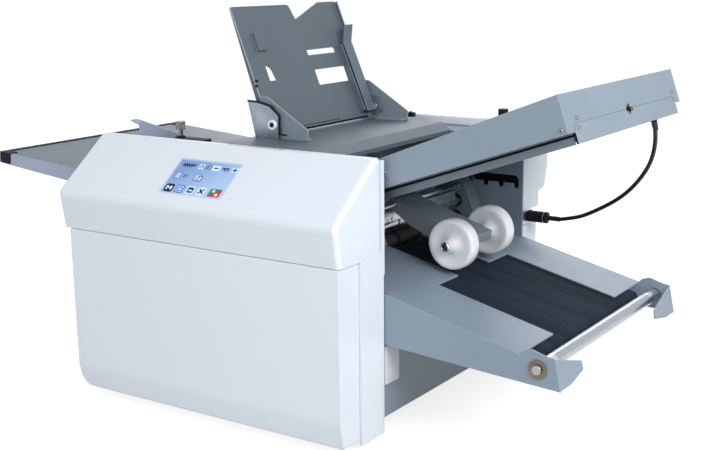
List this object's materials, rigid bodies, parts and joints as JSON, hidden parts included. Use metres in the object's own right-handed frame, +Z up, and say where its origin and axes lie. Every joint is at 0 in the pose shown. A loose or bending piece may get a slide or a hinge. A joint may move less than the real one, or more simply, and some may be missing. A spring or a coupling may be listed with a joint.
{
  "type": "paper folding machine",
  "caption": "Desktop friction-feed paper folding machine with sheet tray, fold rollers, slanted fold plates, touchscreen cover and a sloping outfeed conveyor under stacker wheels.",
  "frame": {"origin": "on the table, under the middle of the machine's extents without its cables", "axes": "+X the way the paper runs, from the infeed table to the outfeed conveyor; +Z up; -Y the operator's side"},
  "size_m": [0.9396, 0.5751, 0.5386],
  "materials": {
    "base_grey": "fine blue-grey powder coat",
    "slate_grey": "dark slate powder coat",
    "cover_white": "satin near-white moulding",
    "foot_rubber": "matt black rubber",
    "bright_steel": "bright turned steel",
    "bush_brass": "turned bronze",
    "exit_aluminium": "mill aluminium",
    "screen_glass": "lit display behind glass",
    "black_plastic": "black moulded plastic",
    "cable_black": "black cable jacket",
    "roller_urethane": "cream urethane",
    "feed_tyre": "dark grooved rubber",
    "motor_black": "black enamel",
    "pulley_aluminium": "turned aluminium",
    "belt_rubber": "blue-black belting",
    "wheel_nylon": "white nylon"
  },
  "bodies": {
    "chassis": {"base_plate": "base_grey", "rubber_feet": "foot_rubber", "near_side_frame": "base_grey", "far_side_frame": "base_grey", "tie_bars": "bright_steel", "frame_screws": "bright_steel", "bearing_bushes": "bush_brass", "hinge_pins": "bright_steel", "front_console": "cover_white", "touchscreen": "screen_glass", "rear_cover": "cover_white", "rear_panel": "cover_white", "power_inlet": "black_plastic", "infeed_table": "base_grey", "table_end_cap": "black_plastic", "separator_block": "foot_rubber", "exit_guides": "exit_aluminium", "upper_fold_cover": "base_grey", "upper_fold_base": "base_grey", "upper_stop_motor": "motor_black", "lower_fold_plate": "base_grey", "main_motor": "motor_black", "drive_belt": "belt_rubber", "conveyor_near_plate": "base_grey", "conveyor_far_plate": "base_grey", "conveyor_bed": "base_grey", "conveyor_belt": "belt_rubber", "end_panels": "base_grey", "fold_plate_cable": "cable_black", "lower_plate_cable": "cable_black", "cable_plug": "black_plastic", "din_socket": "bright_steel"},
    "door": {"front_door": "cover_white"},
    "switch_rocker": {"power_switch": "black_plastic"},
    "near_guide": {"near_side_guide": "base_grey"},
    "far_guide": {"far_side_guide": "base_grey"},
    "near_thumbscrew": {"near_guide_screw": "bright_steel"},
    "far_thumbscrew": {"far_guide_screw": "bright_steel"},
    "feed": {"feed_roller": "feed_tyre"},
    "roller_1": {"fold_roller_1": "roller_urethane"},
    "roller_2": {"fold_roller_2": "roller_urethane"},
    "roller_3": {"fold_roller_3": "roller_urethane"},
    "roller_4": {"fold_roller_4": "roller_urethane"},
    "exit_upper": {"exit_roller_upper": "bright_steel"},
    "exit_lower": {"exit_roller_lower": "bright_steel"},
    "cover": {"top_cover": "slate_grey", "tray_gussets": "base_grey", "tray_pivot_screws": "bright_steel"},
    "tray": {"tray_plate": "slate_grey", "tray_side_guide": "slate_grey"},
    "stop": {"upper_fold_stop": "base_grey"},
    "leadscrew": {"upper_leadscrew": "bright_steel"},
    "knob": {"skew_knob": "black_plastic"},
    "pulley": {"motor_pulley": "pulley_aluminium"},
    "conveyor_drive": {"conveyor_drive_roller": "feed_tyre"},
    "conveyor_end": {"conveyor_end_roller": "bright_steel"},
    "rod": {"stacker_rod": "bright_steel"},
    "arm": {"stacker_arm": "slate_grey"},
    "near_wheel": {"near_stacker_wheel": "wheel_nylon"},
    "far_wheel": {"far_stacker_wheel": "wheel_nylon"}
  },
  "joints": [
    {"name": "door_swing", "type": "hinge", "parent": "chassis", "child": "door", "pos_m": [-0.2195, -0.2406, 0.127], "axis": [0, 0, -1], "range_deg": [0, 88]},
    {"name": "cover_lift", "type": "hinge", "parent": "chassis", "child": "cover", "pos_m": [-0.0205, 0.0094, 0.341], "axis": [0, -1, 0], "range_deg": [0, 40]},
    {"name": "tray_tilt", "type": "hinge", "parent": "cover", "child": "tray", "pos_m": [0.0127, 0.0094, 0.383], "axis": [0, -1, 0], "range_deg": [0, 20]},
    {"name": "near_guide_slide", "type": "slide", "parent": "chassis", "child": "near_guide", "axis": [0, 1, 0], "range_m": [-0.04, 0.048]},
    {"name": "far_guide_slide", "type": "slide", "parent": "chassis", "child": "far_guide", "axis": [0, 1, 0], "range_m": [-0.048, 0.04]},
    {"name": "near_screw_turn", "type": "hinge", "parent": "near_guide", "child": "near_thumbscrew", "pos_m": [-0.166, -0.1116, 0.34], "axis": [0, 0, 1], "range_deg": [0, 540]},
    {"name": "far_screw_turn", "type": "hinge", "parent": "far_guide", "child": "far_thumbscrew", "pos_m": [-0.166, 0.1304, 0.34], "axis": [0, 0, 1], "range_deg": [0, 540]},
    {"name": "fold_spin_2", "type": "hinge", "parent": "chassis", "child": "roller_2", "pos_m": [0.02674, 0.0094, 0.24364], "axis": [0, 1, 0], "continuous": true},
    {"name": "fold_spin_1", "type": "hinge", "parent": "chassis", "child": "roller_1", "pos_m": [0.01326, 0.0094, 0.28236], "axis": [0, 1, 0], "continuous": true},
    {"name": "fold_spin_3", "type": "hinge", "parent": "chassis", "child": "roller_3", "pos_m": [0.06774, 0.0094, 0.24364], "axis": [0, 1, 0], "continuous": true},
    {"name": "fold_spin_4", "type": "hinge", "parent": "chassis", "child": "roller_4", "pos_m": [0.06774, 0.0094, 0.20264], "axis": [0, 1, 0], "continuous": true},
    {"name": "feed_spin", "type": "hinge", "parent": "chassis", "child": "feed", "pos_m": [-0.045, 0.0094, 0.3055], "axis": [0, 1, 0], "continuous": true},
    {"name": "exit_spin_upper", "type": "hinge", "parent": "chassis", "child": "exit_upper", "pos_m": [0.118, 0.0094, 0.23614], "axis": [0, 1, 0], "continuous": true},
    {"name": "exit_spin_lower", "type": "hinge", "parent": "chassis", "child": "exit_lower", "pos_m": [0.118, 0.0094, 0.21014], "axis": [0, 1, 0], "continuous": true},
    {"name": "conveyor_drive_spin", "type": "hinge", "parent": "chassis", "child": "conveyor_drive", "pos_m": [0.16172, 0.0094, 0.18983], "axis": [0, 1, 0], "continuous": true},
    {"name": "conveyor_end_spin", "type": "hinge", "parent": "chassis", "child": "conveyor_end", "pos_m": [0.438, 0.0094, 0.1315], "axis": [0, 1, 0], "continuous": true},
    {"name": "motor_spin", "type": "hinge", "parent": "chassis", "child": "pulley", "pos_m": [-0.04, -0.1706, 0.066], "axis": [0, 1, 0], "continuous": true},
    {"name": "stop_slide", "type": "slide", "parent": "chassis", "child": "stop", "axis": [0.9444, 0, 0.3289], "range_m": [0, 0.23]},
    {"name": "leadscrew_turn", "type": "hinge", "parent": "chassis", "child": "leadscrew", "pos_m": [0.26723, 0.0094, 0.3656], "axis": [0.9444, 0, 0.3289], "range_deg": [0, 6960]},
    {"name": "knob_turn", "type": "hinge", "parent": "chassis", "child": "knob", "pos_m": [0.193, 0.2024, 0.36], "axis": [0, 0, 1], "range_deg": [0, 270]},
    {"name": "switch_rock", "type": "hinge", "parent": "chassis", "child": "switch_rocker", "pos_m": [-0.133, 0.2529, 0.077], "axis": [1, 0, 0], "range_deg": [0, 12]},
    {"name": "rod_lift", "type": "slide", "parent": "chassis", "child": "rod", "axis": [0, 0, 1], "range_m": [0, 0.0085]},
    {"name": "arm_swing", "type": "hinge", "parent": "rod", "child": "arm", "pos_m": [0.1423, 0.0094, 0.2681], "axis": [0, -1, 0], "range_deg": [0, 25]},
    {"name": "near_wheel_spin", "type": "hinge", "parent": "arm", "child": "near_wheel", "pos_m": [0.2469, -0.0417, 0.2302], "axis": [0, 1, 0], "continuous": true},
    {"name": "far_wheel_spin", "type": "hinge", "parent": "arm", "child": "far_wheel", "pos_m": [0.2469, 0.0605, 0.2302], "axis": [0, 1, 0], "continuous": true}
  ],
  "couplings": [
    {"joint": "fold_spin_1", "follows": "fold_spin_2", "ratio": -1},
    {"joint": "fold_spin_3", "follows": "fold_spin_2", "ratio": -1},
    {"joint": "fold_spin_4", "follows": "fold_spin_2", "ratio": 1},
    {"joint": "feed_spin", "follows": "fold_spin_2", "ratio": -0.90909},
    {"joint": "exit_spin_upper", "follows": "fold_spin_2", "ratio": -1.6},
    {"joint": "exit_spin_lower", "follows": "fold_spin_2", "ratio": 1.6},
    {"joint": "conveyor_drive_spin", "follows": "fold_spin_2", "ratio": 0.4},
    {"joint": "conveyor_end_spin", "follows": "fold_spin_2", "ratio": 0.5},
    {"joint": "motor_spin", "follows": "fold_spin_2", "ratio": 1.6},
    {"joint": "leadscrew_turn", "follows": "stop_slide", "rad_per_m": 523.6}
  ]
}
